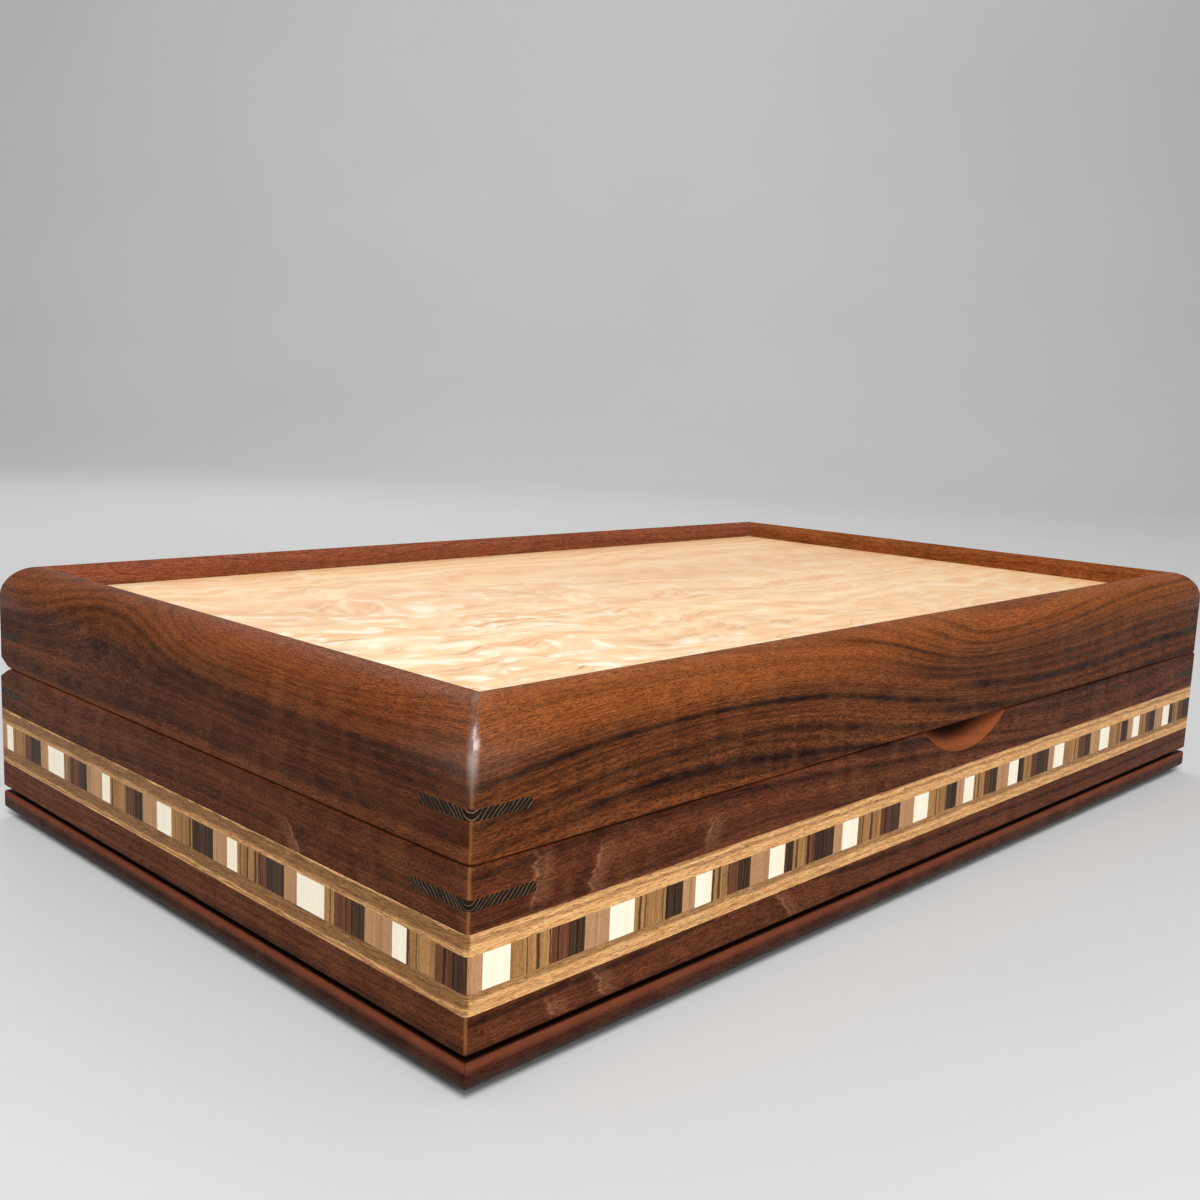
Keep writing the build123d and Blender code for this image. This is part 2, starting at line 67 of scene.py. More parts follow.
class Value:
    """What a node gives at each point of a surface. Arithmetic on it adds Math nodes."""

    def __init__(self, finish, output):
        self.finish = finish
        self.output = output

    def math(self, operation, *values):
        return self.finish.add("ShaderNodeMath", {"operation": operation}, values)

    def __add__(self, other):
        return self.math("ADD", self, other)

    def __sub__(self, other):
        return self.math("SUBTRACT", self, other)

    def __rsub__(self, other):
        return self.math("SUBTRACT", other, self)

    def __mul__(self, other):
        return self.math("MULTIPLY", self, other)

    def __truediv__(self, other):
        return self.math("DIVIDE", self, other)

    def __rtruediv__(self, other):
        return self.math("DIVIDE", other, self)

    def __neg__(self):
        return self.math("MULTIPLY", self, -1.0)

    def __abs__(self):
        return self.math("ABSOLUTE", self)

    __radd__ = __add__
    __rmul__ = __mul__

    def of(self, key):
        """Another output of the same node."""
        return Value(self.finish, self.output.node.outputs[key])

    def larger(self, other):
        return self.math("MAXIMUM", self, other)

    def fraction(self):
        return self.math("FRACT", self)

    def exponential(self):
        return self.math("EXPONENT", self)

    def between(self, low, high, new_low=0.0, new_high=1.0):
        """Stretch from one range to another, held at its ends. High may lie below low."""
        return self.finish.add("ShaderNodeMapRange", {"clamp": True},
                               (self, low, high, new_low, new_high))


def bell(*distances):
    """One where every distance is nought, falling off smoothly around it."""
    square = distances[0] * distances[0]
    for distance in distances[1:]:
        square = square + distance * distance
    return (-square).exponential()


class Finish:
    """A material that is built up from nodes around one Principled shader."""

    def __init__(self, name, **surface):
        self.material = bpy.data.materials.new(name)
        self.material.use_nodes = True
        self.tree = self.material.node_tree
        self.shader = self.tree.nodes["Principled BSDF"]
        for socket, value in surface.items():
            self.shader.inputs[socket.replace("_", " ")].default_value = value
        place = self.add("ShaderNodeTexCoord", {}, ()).of("Object")
        apart = self.add("ShaderNodeSeparateXYZ", {}, (place,))
        self.x, self.y, self.z = (apart.of(axis) * METRE for axis in "XYZ")

    def add(self, kind, settings, sockets):
        """Add one node: its settings first, then values or links for its sockets."""
        node = self.tree.nodes.new(kind)
        for name, value in settings.items():
            setattr(node, name, value)
        for key, value in sockets.items() if isinstance(sockets, dict) else enumerate(sockets):
            if isinstance(value, Value):
                self.tree.links.new(value.output, node.inputs[key])
            else:
                node.inputs[key].default_value = value
        return Value(self, node.outputs[0])

    def clouds(self, x, y, z, detail=2.0, roughness=0.5, distortion=0.0):
        """Smooth noise, about one swell per unit."""
        return self.add("ShaderNodeTexNoise", {}, {
            "Vector": self.add("ShaderNodeCombineXYZ", {}, (x, y, z)), "Scale": 1.0,
            "Detail": detail, "Roughness": roughness, "Distortion": distortion})

    def lines(self, level, detail=2.0, roughness=0.5):
        """Random lines along which the level is the same."""
        return self.add("ShaderNodeTexNoise", {"noise_dimensions": "1D"}, {
            "W": level, "Scale": 1.0, "Detail": detail, "Roughness": roughness})

    def mix(self, factor, under, over, mode="MIX"):
        """One colour over another, by a factor."""
        return self.add("ShaderNodeMix", {"data_type": "RGBA", "blend_type": mode},
                        {0: factor, 6: under, 7: over}).of(2)

    def done(self, colour, roughness=None, height=None, relief=0.05, coat=None):
        """Join the values to the shader. A bump makes the height a relief, in millimetres."""
        normal = None
        if height is not None:
            normal = self.add("ShaderNodeBump", {}, {
                "Strength": 1.0, "Distance": relief / METRE, "Height": height})
        for name, value in (("Base Color", colour), ("Roughness", roughness),
                            ("Coat Weight", coat), ("Normal", normal)):
            if value is not None:
                self.tree.links.new(value.output, self.shader.inputs[name])
        return self.material


def dress(material, *names):
    """Give nodes of the model one material."""
    for name in names:
        materials = NODES[name].data.materials
        materials.clear()
        materials.append(material)


def shade_under_suede(finish, colour, height):
    """Near black on the face that a lining hides: painted shade, so the crevice at its rim shows
    no pale line.
    """
    return finish.mix(abs(finish.z - height).between(0.2, 0.1), colour, shade("1d1816"))


# Walnut

PAST_ENDS = 200             # from the middle, in millimetres: past both ends of every board
STREAK_FADE = 12            # a streak that ends within the board fades this far each way
PAINTED_LIGHT_START = 67             # heights between which the lid's top is painted lighter and warmer, as light falls there
PAINTED_LIGHT_FULL = 76
STOCK = 12                  # thickness of walls and rails
CORNER_FOOT = 9             # heights between which the corner's line of wear and painted highlight sets in
CORNER_FULL = 12
RECESS_MIDDLE = 5
RECESS_REACH = 27           # half the width that is tinted, a little more than the recess
RECESS_DEPTH = 10
SHINE_HEIGHT = 72.5         # on the hips where the lid's quarter rounds meet


class Board:
    """The figure of one walnut board.

    Swells in its growth rings: place along, height, reach along, reach in height, rise.
    Dark streaks: level in the rings, half width, strength, first and last place along.
    Light jagged marks: place along, lean, lowest and highest place.
    """

    def __init__(self, along, seed, swells=(), streaks=(), marks=(), wander=5.0):
        self.along = along
        self.seed = seed
        self.swells = swells
        self.streaks = streaks
        self.marks = marks
        self.wander = wander

    def axes(self, finish):
        """Along the grain, up the face and into the wood."""
        if self.along == "x":
            return finish.x, finish.z, finish.y
        return finish.y, finish.z, finish.x

    def level(self, finish):
        """Height in the stack of growth rings."""
        u, v, w = self.axes(finish)
        drift = finish.clouds(u / 70 + self.seed, v / 22, w / 60, 2.0)
        level = v + (drift - 0.5) * self.wander
        for place, height, reach, spread, rise in self.swells:
            level = level + bell((u - place) / reach, (v - height) / spread) * rise
        return level

    def streak_mask(self, finish, level, painted_top_light):
        """Random thin streaks, fewer where the lid's top is painted lighter, and the board's own
        dark ones.
        """
        u, v, w = self.axes(finish)
        mask = finish.lines(level / 2.4 + self.seed * 5, 2.0).between(0.55, 0.66) * 0.6
        mask = mask * painted_top_light.between(0.0, 0.8, 1.0, 0.5)
        thick = finish.clouds(u / 36 + self.seed, v / 7, w / 30, 3.0, 0.6)
        thick = thick.between(0.34, 0.6, 0.72, 1.0)
        for place, width, strength, first, last in self.streaks:
            streak = bell((level - place) / width) * thick * strength
            if first > -PAST_ENDS:
                streak = streak * u.between(first - STREAK_FADE, first + STREAK_FADE)
            if last < PAST_ENDS:
                streak = streak * u.between(last - STREAK_FADE, last + STREAK_FADE, 1.0, 0.0)
            mask = mask.larger(streak)
        ragged = finish.clouds(u / 9, level / 0.5, w / 0.5, 3.0, 0.7)
        return mask * ragged.between(0.3, 0.6, 0.66, 1.0)

    def draw_marks(self, finish, colour):
        """Light marks that cross the grain, each with a soft shadow beside it."""
        u, v, w = self.axes(finish)
        for place, lean, lowest, highest in self.marks:
            jag = finish.clouds(u / 60, v / 2.6 + place, w / 60, 3.0, 0.6) - 0.5
            across = u - place - (v - lowest) * lean - jag * 6.5
            inside = v.between(lowest - 1.5, lowest + 1)
            inside = inside * v.between(highest - 1, highest + 1.5, 1.0, 0.0)
            crest = bell(across / 0.55) * 0.4 + bell((across - 2.2) / 2.4) * 0.2
            shadow = bell((across + 3.5) / 2.6) * 0.3
            colour = finish.mix(crest * inside, colour, shade("b87e5c"))
            colour = finish.mix(shadow * inside, colour, shade("321710"))
        return colour


def paint_recess_light_and_shade(finish, colour):
    """The finger recess is lighter and warmer brown at its lip, partly fresh wood and partly
    painted light, and painted dark deeper in as shade under the lid.
    """
    deep = finish.y - FRONT_FACE
    scoop = deep.between(RECESS_DEPTH, RECESS_DEPTH + 1, 1.0, 0.0)
    aside = abs(finish.x - RECESS_MIDDLE)
    scoop = scoop * aside.between(RECESS_REACH - 1, RECESS_REACH + 1, 1.0, 0.0)
    scoop = scoop * finish.z.between(SEAM - 0.4, SEAM - 0.1, 1.0, 0.0)
    # the lip: partly fresh wood, partly painted light where light falls into the scoop
    colour = finish.mix(deep.between(0.2, 0.5) * scoop * 0.45, colour, shade("ac5f36"))
    # painted shade: dark deep in the recess, under the lid's edge
    return finish.mix(deep.between(3.0, 5.6) * scoop * 0.9, colour, shade("120805"))


def finish_corners(finish, colour):
    """A tan line down each outer corner, partly wear and partly a painted highlight, a thin glue
    line along each mitre, polished hips.
    """
    from_end = HALF_LENGTH - abs(finish.x)
    from_side = HALF_DEPTH - abs(finish.y)
    mitre = abs(from_end - from_side)
    inward = from_end + from_side
    outer = inward.between(1.2, 2.4, 1.0, 0.0) * finish.z.between(CORNER_FOOT, CORNER_FULL)
    # the corner line: partly wear, partly a painted highlight on the eased edge
    worn = mitre.between(0.15, 0.7, 0.4, 0.0) * outer
    glued = mitre.between(0.05, 0.16, 0.5, 0.0) * (1.0 - outer)
    glued = glued * inward.between(2 * STOCK, 2 * STOCK + 1, 1.0, 0.0)
    colour = finish.mix(worn, colour, shade("a8713f"))
    colour = finish.mix(glued, colour, shade("241009"))
    polish = mitre.between(0.7, 2.0, 1.0, 0.0) + bell(mitre / 16) * 0.16
    return colour, polish * bell((finish.z - SHINE_HEIGHT) / 5.5)


def walnut(name, board, light="9b5629", middle="613118", dark="1b0b06", top_light_tone="b2642f", light_and_shade_bands=(),
           recess=False):
    """Oiled walnut: streaks and fine lines along the rings, fibres, open pores and a soft curl.

    The lid's top is painted lighter, as lit from above. Each band of painted light or shade starts
    at one height and is full at another.
    """
    finish = Finish(name, Specular_IOR_Level=0.05, Coat_Roughness=0.25, Coat_IOR=3.0)
    u, v, w = board.axes(finish)
    level = board.level(finish)
    seed = board.seed
    broad = finish.lines(level / 5 + seed * 7, 2.0).between(0.38, 0.62)
    fine = finish.lines(level / 0.9 + seed * 3, 3.0, 0.65).between(0.32, 0.68)
    patch = finish.clouds(u / 50 + seed, v / 14, w / 30, 3.0, 0.55).between(0.36, 0.66)
    # painted light: the top of the lid lighter and warmer, where it faces the light
    painted_top_light = (v + (patch - 0.5) * 7).between(PAINTED_LIGHT_START, PAINTED_LIGHT_FULL, 0.0, 0.8)
    colour = finish.mix(broad * 0.65 + fine * 0.35, shade(middle), shade(light))
    colour = finish.mix(painted_top_light, colour, shade(top_light_tone))
    colour = finish.mix(patch * 0.3, colour, shade(middle))
    colour = finish.mix(board.streak_mask(finish, level, painted_top_light), colour, shade(dark))
    fibre = finish.clouds(u / 4, level / 0.36, w / 0.36, 3.0, 0.7).between(0.38, 0.63)
    pore = finish.clouds(u + seed, level / 0.14, w / 0.14, 1.0).between(0.51, 0.57)
    curl = finish.clouds(u / 8 + seed, v / 12, w / 12, 1.0, 0.5, 0.8).between(0.4, 0.75)
    colour = finish.mix(fibre * 0.56, colour, shade("53291a"), "MULTIPLY")
    colour = finish.mix(curl * 0.08, colour, shade("cc8552"))
    colour = board.draw_marks(finish, colour)
    colour = finish.mix(pore * 0.56, colour, shade("200c06"))
    # painted bands of light, shade and reflection, each by height
    for start, full, tone, strength in light_and_shade_bands:
        colour = finish.mix(v.between(start, full) * strength, colour, shade(tone))
    if recess:
        colour = paint_recess_light_and_shade(finish, colour)
    colour, polish = finish_corners(finish, colour)
    roughness = fibre * 0.1 + pore * 0.15 + 0.38
    height = (1.0 - pore) * 0.7 + (1.0 - fibre) * 0.3
    return finish.done(colour, roughness, height, 0.03, polish)


# The lid was sawn off the case, so lid and case share each board's figure.
FRONT_BOARD = Board("x", 1.3, wander=1.8, swells=(
    (61, 76, 54, 24, 5.0), (-172, 78, 80, 30, -10.0), (-92, 27, 28, 13, -6.0),
    (-80, 68, 83, 17, -10.8), (108, 33, 110, 16, 9.0), (3, 73, 42, 9, 8.0),
), streaks=(
    (55.3, 0.9, 1.2, -200, 5), (57.0, 0.35, 0.6, -200, 0), (50.0, 0.8, 1.0, -200, -10),
    (51.4, 0.3, 0.6, -200, -20), (47.1, 0.7, 1.2, -165, 0), (45.7, 0.5, 0.8, -150, -10),
    (63.6, 1.4, 0.75, -30, 200), (67.0, 0.9, 0.6, -40, 200), (70.2, 0.7, 0.6, -40, 200),
    (72.9, 0.9, 0.9, -60, 110), (75.6, 0.6, 0.6, -30, 200), (79.2, 0.7, 0.7, -20, 200),
    (82.2, 0.5, 0.6, -20, 100), (59.8, 2.0, 1.2, 0, 200), (56.6, 0.8, 0.8, 20, 200),
    (53.3, 1.5, 0.95, -20, 200), (50.9, 1.0, 0.85, 10, 200), (47.0, 1.3, 0.5, 60, 200),
    (51.6, 3.4, 0.3, -200, -80), (46.2, 2.6, 0.32, -200, -90), (53.3, 0.3, 0.8, -200, -80),
    (52.2, 0.22, 0.7, -190, -70), (48.6, 0.3, 0.75, -200, -60), (58.8, 0.25, 0.5, -180, -40),
    (60.4, 0.2, 0.4, -170, -60), (54.2, 0.25, 0.6, -200, -110),
), marks=(
    (-173, 0.1, 38, 48), (-156, 0.35, 36, 46), (-165, -0.6, 11, 15), (-150, -0.5, 11, 17),
    (-117, 0.25, 38, 44), (-82, -0.7, 11, 18),
))
LEFT_BOARD = Board("y", 2.2, wander=4.0, swells=(
    (-60, 88, 40, 13, 12), (42, 75, 34, 10, -9), (-12, 84, 26, 10, 7), (80, 30, 50, 20, 5),
), streaks=(
    (68.3, 1.6, 0.85, -200, 200), (65.4, 1.2, 0.7, -200, 200), (62.4, 1.4, 0.7, -200, 200),
    (58.5, 1.8, 0.6, -200, 60), (54.5, 1.5, 0.6, -200, 200), (72.0, 0.9, 0.55, -20, 200),
    (75.5, 0.5, 0.5, -200, 200), (79.0, 0.5, 0.45, -200, 200), (83.0, 0.5, 0.4, -200, 200),
    (61.5, 2.2, 0.95, 22, 62), (47.0, 2.0, 0.5, -200, 200), (41.0, 1.6, 0.5, -200, 200),
), marks=((-57, 0.8, 35, 42),))
BACK_BOARD = Board("x", 5.1, swells=((-60, 80, 70, 16, 9), (110, 30, 60, 16, -10)), streaks=(
    (70, 1.5, 1.0, -200, 200), (60, 2.0, 1.0, -200, 200), (52, 1.5, 0.8, -200, 200)))
RIGHT_BOARD = Board("y", 6.4, swells=((30, 84, 40, 14, 12), (-50, 35, 40, 14, -8)), streaks=(
    (68, 1.5, 1.0, -200, 200), (61, 1.8, 1.0, -200, 200), (53, 1.5, 0.8, -200, 200)))
WALL_FOOT_SHADE = ((10.9, 10.3, "0d0705", 0.9),)      # painted shade of the shadow gap, near black on the walls' lower edge
WALL_TONES = {"light": "84482a", "middle": "5a2d19", "top_light_tone": "84482a", "light_and_shade_bands": WALL_FOOT_SHADE}
# darker tones for the left end, and a darker top on its rail: painted shade, as less light falls
# there
SHADED_LEFT_TONES = {"light": "824827", "middle": "592d17"}
# by height: greyer towards the foot as a painted reflection of the floor, lighter on the top
# rounding as a painted highlight, near black at the top edge as painted shade in the shadow gap
PLINTH_LIGHT_AND_SHADE = (
    (5.4, 2.6, "352b25", 0.8), (6.0, 7.4, "8f4c33", 0.45), (8.2, 8.45, "0d0705", 0.9))
LONG_PLINTH_TONES = {"light": "65311f", "middle": "3f2117", "dark": "1f0d08", "top_light_tone": "65311f",
                     "light_and_shade_bands": PLINTH_LIGHT_AND_SHADE}
# darker tones for the plinth's ends: painted shade, as the left end gets less light
SHADED_SHORT_PLINTH_TONES = {"light": "4d2418", "middle": "2e170f", "dark": "1f0d08", "top_light_tone": "4d2418",
                      "light_and_shade_bands": PLINTH_LIGHT_AND_SHADE}


def dress_walnut():
    """Every walnut piece, each board with its own figure and tones."""
    dress(walnut("walnut_front_rail", FRONT_BOARD), "lid_front_rail")
    dress(walnut("walnut_front_wall", FRONT_BOARD, recess=True, **WALL_TONES), "front_wall")
    dress(walnut("walnut_left_rail", LEFT_BOARD, top_light_tone="9c5427", **SHADED_LEFT_TONES), "lid_left_rail")
    dress(walnut("walnut_left_wall", LEFT_BOARD, top_light_tone="7c4525", light_and_shade_bands=WALL_FOOT_SHADE, **SHADED_LEFT_TONES),
          "left_wall")
    # the back rail's top is painted pinkish: a painted reflection of the sky on its inner bevel
    dress(walnut("walnut_back_rail", BACK_BOARD, top_light_tone="b0654a"), "lid_back_rail")
    dress(walnut("walnut_back_wall", BACK_BOARD, **WALL_TONES), "back_wall")
    dress(walnut("walnut_right_rail", RIGHT_BOARD), "lid_right_rail")
    dress(walnut("walnut_right_wall", RIGHT_BOARD, **WALL_TONES), "right_wall")
    dress(walnut("walnut_long_plinth", Board("x", 8.3), **LONG_PLINTH_TONES),
          "plinth_front", "plinth_back")
    dress(walnut("walnut_short_plinth", Board("y", 9.1), **SHADED_SHORT_PLINTH_TONES),
          "plinth_left", "plinth_right")
    dress(walnut("walnut_inside_long", Board("x", 11.2)), "tray_runner_front",
          "tray_runner_back", "long_divider", "tray_front", "tray_back")
    dress(walnut("walnut_inside_short", Board("y", 12.7)), "cross_dividers", "tray_left",
          "tray_right", "tray_divider")


# Other woods

def dress_lid_panel():
    """Quilted maple: long waves along the grain, cream blisters painted bright as highlights of
    its sheen, a tan band.
    """
    finish = Finish("figured_maple_panel", Specular_IOR_Level=0.3)
    x, y, z = finish.x, finish.y, finish.z
    sway = finish.clouds(x / 34, y / 60, z / 30, 2.0, 0.5, 0.3)
    swirl = finish.clouds(x / 60 + 3, y / 42, z / 30, 1.0)
    level = y + (sway - 0.5) * 28 + (swirl - 0.5) * 30
    wave = finish.lines(level / 11, 1.0, 0.5)
    fine = finish.lines(level / 3.6 + 5, 2.0, 0.5)
    blister = finish.clouds(x / 17, level / 10, z / 9, 1.0, 0.5, 0.5)
    small_highlight = finish.clouds(x / 8 + 2, level / 6, z / 9, 1.0, 0.5, 0.5)
    tan_band = bell((y - 24 + (swirl - 0.5) * 40) / 24)
    lively = x.between(-110, 30, 1.0, 0.3) * y.between(-10, 60, 1.0, 0.4)
    colour = finish.mix(wave.between(0.36, 0.62), shade("efb882"), shade("fbd29d"))
    colour = finish.mix(tan_band * 0.45, colour, shade("e4b083"))
    thin = wave.between(0.46, 0.48) - wave.between(0.48, 0.505)
    thinner = fine.between(0.46, 0.485) - fine.between(0.485, 0.52)
    gaps = finish.clouds(x / 14 + 9, level / 9, z / 9, 1.0).between(0.42, 0.58)
    colour = finish.mix((thin * 0.7 + thinner * 0.5) * gaps * lively, colour, shade("b67836"))
    # painted highlights: the quilt's cream blisters and small spots, strongest near the front left
    blister_highlight = blister.between(0.47, 0.72) * (lively * 0.6 + 0.3)
    colour = finish.mix(blister_highlight, colour, shade("ffe9c2"))
    colour = finish.mix(small_highlight.between(0.53, 0.72) * lively * 0.9, colour, shade("fff4da"))
    fleck = finish.clouds(x / 3, y / 0.5, z, 1.0).between(0.6, 0.75)
    colour = finish.mix(fleck * 0.12, colour, shade("b98654"))
    colour = shade_under_suede(finish, colour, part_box("lid_panel")[0].z * METRE)
    roughness = 0.4 - blister * 0.1 + fleck * 0.1
    dress(finish.done(colour, roughness, wave * 0.6 + blister * 0.4, 0.05), "lid_panel")


def strongest_streak(ring, streaks):
    """Strength of the strongest streak at each point of a strip."""
    masks = [abs(ring - place).between(width, width + 0.1, strength, 0.0)
             for place, width, strength in streaks]
    strongest = masks[0]
    for mask in masks[1:]:
        strongest = strongest.larger(mask)
    return strongest


def border_oak(name, node, low, high, front, end):
    """Golden oak strip with browner streaks: height in the strip, half width and strength."""
    finish = Finish(name, Specular_IOR_Level=0.08)
    x, y, z = finish.x, finish.y, finish.z
    fibre = finish.clouds(x / 6, y / 6, z / 0.26, 3.0, 0.7).between(0.34, 0.66)
    drift = finish.clouds(x / 16, y / 16, z / 2.5, 3.0, 0.6)
    pore = finish.clouds(x / 1.7, y / 1.7, z / 0.17, 1.0).between(0.58, 0.66)
    # painted glints: bright golden specks, fewer on the ends
    painted_glint = finish.clouds(x / 2.4 + 7, y / 2.4, z / 0.3, 1.0).between(0.62, 0.72)
    on_end = abs(x).between(HALF_LENGTH - 1.2, HALF_LENGTH - 0.6)
    height = (z - low) / (high - low)
    ring = height + (drift - 0.5) * 0.5 + (fibre - 0.5) * 0.06
    on_front = strongest_streak(ring, front)
    at_end = strongest_streak(ring, end)
    golden = finish.mix(fibre, shade("c2864c"), shade("f7c385"))
    brown = finish.mix(fibre, shade("46290f"), shade("8f5f33"))
    colour = finish.mix(on_front + (at_end - on_front) * on_end, golden, brown)
    colour = finish.mix(painted_glint * (0.35 - on_end * 0.25), colour, shade("ffdca0"))
    colour = finish.mix(pore * 0.6, colour, shade("3c2412"))
    joint = abs(height - 0.5).between(0.485, 0.5)
    colour = finish.mix(joint * 0.6, colour, shade("2a1a0e"))
    dress(finish.done(colour, fibre * 0.15 + 0.36, 1.0 - pore, 0.03), node)


def block_wood(name, node, light, dark, line, width, lines, pores, seed):
    """Inlay block with its grain upright: each block differs a little in tone."""
    finish = Finish(name, Specular_IOR_Level=0.08)
    x, y, z = finish.x, finish.y, finish.z
    tone = finish.clouds(x / 5 + seed, y / 5, z / 400, 1.0).between(0.32, 0.68)
    bend = finish.clouds(x / 6, y / 6, z / 6, 1.0) * 0.5
    grain = finish.clouds(x / width + bend, y / width + bend, z / 30, 3.0, 0.6)
    grain = grain.between(0.36, 0.64)
    stripe = finish.lines((x + y) / (width * 2.3) + bend + seed, 2.0, 0.6)
    fleck = finish.clouds(x / 0.2, y / 0.2, z / 1.4, 1.0).between(0.56, 0.68)
    colour = finish.mix(grain * 0.5 + tone * 0.5, shade(dark), shade(light))
    colour = finish.mix(stripe.between(0.56, 0.62) * lines, colour, shade(line))
    colour = finish.mix(fleck * pores, colour, shade(line))
    dress(finish.done(colour, grain * 0.1 + 0.36, 1.0 - fleck, 0.03), node)


BLOCK_WOODS = (             # tones: light, dark and line; then grain width, lines, pores, seed
    ("plain_maple", "maple_blocks", "fff8e6", "fbeed0", "e9d2ab", 1.2, 0.15, 0.15, 1.0),
    ("cherry", "cherry_blocks", "c89a70", "a87a53", "83583a", 0.7, 0.3, 0.5, 3.0),
    ("zebrano", "zebrano_blocks", "be8d55", "7d552f", "35200f", 0.8, 0.85, 0.5, 5.0),
    ("rosewood", "rosewood_blocks", "7d4b30", "4c2b19", "190c06", 0.7, 0.8, 0.5, 7.0),
    ("striped_ebony", "ebony_blocks", "563c26", "21150c", "0b0604", 0.6, 0.8, 0.4, 9.0),
)


def dress_band():
    """The inlaid band: two oak borders and the blocks between them."""
    border_oak("golden_oak_upper", "band_upper_border", *UPPER_BORDER,
               front=((1.05, 0.09, 0.6), (0.62, 0.05, 0.5)),
               end=((0.6, 0.28, 0.85), (0.22, 0.02, 0.6), (0.06, 0.02, 0.4)))
    border_oak("golden_oak_lower", "band_lower_border", *LOWER_BORDER,
               front=((0.85, 0.16, 0.66), (0.3, 0.02, 0.3)),
               end=((0.8, 0.46, 0.85), (0.12, 0.04, 0.6)))
    for wood in BLOCK_WOODS:
        block_wood(*wood)


def dress_keys():
    """Black wood with thin tan lines that run the same way out from every corner."""
    finish = Finish("key_ebony", Specular_IOR_Level=0.04)
    x, y, z = finish.x, finish.y, finish.z
    slope = abs(x) + abs(y) + z
    turns = slope / 1.35 + finish.clouds(x / 9, y / 9, z / 5, 2.0) * 2.2
    off_line = abs(turns.fraction() - 0.5)
    worn = finish.clouds(slope / 2, abs(x) / 4, abs(y) / 4, 2.0).between(0.35, 0.6, 0.25, 1.0)
    fibre = finish.clouds(slope / 0.15, (abs(x) - z) / 3, (abs(y) - z) / 3, 2.0)
    colour = finish.mix(fibre.between(0.35, 0.7), shade("150e0b"), shade("2c1f18"))
    colour = finish.mix(off_line.between(0.12, 0.02) * worn, colour, shade("8d7150"))
    dress(finish.done(colour, fibre * 0.2 + 0.3, fibre, 0.02),
          "case_corner_keys", "lid_corner_keys")


def dress_shadow_gap():
    """Near black strips between plinth and case: painted shade for the deep shadow gap."""
    finish = Finish("black_gap_shade", Specular_IOR_Level=0.2)
    fibre = finish.clouds(finish.x / 5, finish.y / 5, finish.z / 0.3, 2.0)
    colour = finish.mix(fibre, shade("050403"), shade("140e0b"))
    dress(finish.done(colour, fibre * 0.2 + 0.6, fibre, 0.03), "spacer_strips")


def birch(name, node):
    """Rotary cut birch plywood: pale, with soft wandering rings, painted dark under the suede as
    shade at its rim.
    """
    finish = Finish(name, Specular_IOR_Level=0.3)
    x, y, z = finish.x, finish.y, finish.z
    drift = finish.clouds(x / 80, y / 30, z, 2.0, 0.5, 0.6)
    ring = finish.lines(y / 14 + drift * 4, 2.0).between(0.35, 0.65)
    fleck = finish.clouds(x / 2.5, y / 0.35, z / 0.35, 1.0).between(0.6, 0.7)
    colour = finish.mix(ring, shade("d2ad7c"), shade("e6cb9f"))
    colour = finish.mix(fleck * 0.4, colour, shade("9c7447"))
    colour = shade_under_suede(finish, colour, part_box(node)[1].z * METRE)
    dress(finish.done(colour, ring * 0.1 + 0.5, 1.0 - fleck, 0.03), node)


def dress_hinges():
    """Drawn brass with fine lines along the hinge and a little tarnish."""
    finish = Finish("brushed_brass", Metallic=1.0)
    x, y, z = finish.x, finish.y, finish.z
    drawn = finish.clouds(x / 12, y / 0.08, z / 0.08, 2.0, 0.7)
    tarnish = finish.clouds(x / 6, y / 4, z / 4, 3.0, 0.6).between(0.45, 0.75)
    colour = finish.mix(drawn * 0.5, shade("d9b46a"), shade("e8c988"))
    colour = finish.mix(tarnish * 0.45, colour, shade("8f6a34"))
    dress(finish.done(colour, drawn * 0.15 + tarnish * 0.2 + 0.2, drawn, 0.01),
          "hinge_leaves_case", "hinge_leaves_lid", "hinge_pins", "hinge_screws_case",
          "hinge_screws_lid")


# Linings and pads

LINED = {                   # the body that each lining rides on, and the board that carries it
    "compartment_linings": ("case", "case_bottom"),
    "tray_linings": ("tray", "tray_floor"),
    "lid_lining": ("lid", "lid_panel"),
}
LINING_CELL = 0.004         # metres, as are the crowns and rims
LEAST_CELLS = 8
LINING_CROWN = 0.0002
LINING_RIM = 0.0006
PAD_CELLS = (14, 14)
PAD_CROWN = 0.0001
PAD_RIM = 0.0005
DENTS_PER_METRE = 60
CHANGE_WITH_HEIGHT = 900    # so that pads at different heights get different dents
LEVEL_ENOUGH = 0.3          # faces that look up or down less than this stay flat shaded
SAME_POINT = 1e-6


def suede():
    """Charcoal suede: fine nap that lies in different directions in soft patches."""
    finish = Finish("charcoal_suede", Sheen_Weight=0.12, Sheen_Roughness=0.5,
                    Specular_IOR_Level=0.05)
    x, y, z = finish.x, finish.y, finish.z
    brushed = finish.clouds(x / 30, y / 20, z / 20, 4.0, 0.6, 0.4).between(0.35, 0.65)
    stroke = finish.clouds(x / 5, y / 1.6, z / 1.6, 3.0, 0.65, 0.3).between(0.35, 0.65)
    nap = finish.clouds(x / 0.45, y / 0.45, z / 0.45, 3.0, 0.75)
    colour = finish.mix(brushed * 0.6 + stroke * 0.4, shade("3a3634"), shade("514b47"))
    colour = finish.mix(nap.between(0.35, 0.6) * 0.5, colour, shade("2b2826"))
    colour = finish.mix(nap.between(0.55, 0.72) * 0.4, colour, shade("7a726c"))
    return finish.done(colour, nap * 0.1 + 0.85, nap * 0.6 + stroke * 0.4, 0.25)


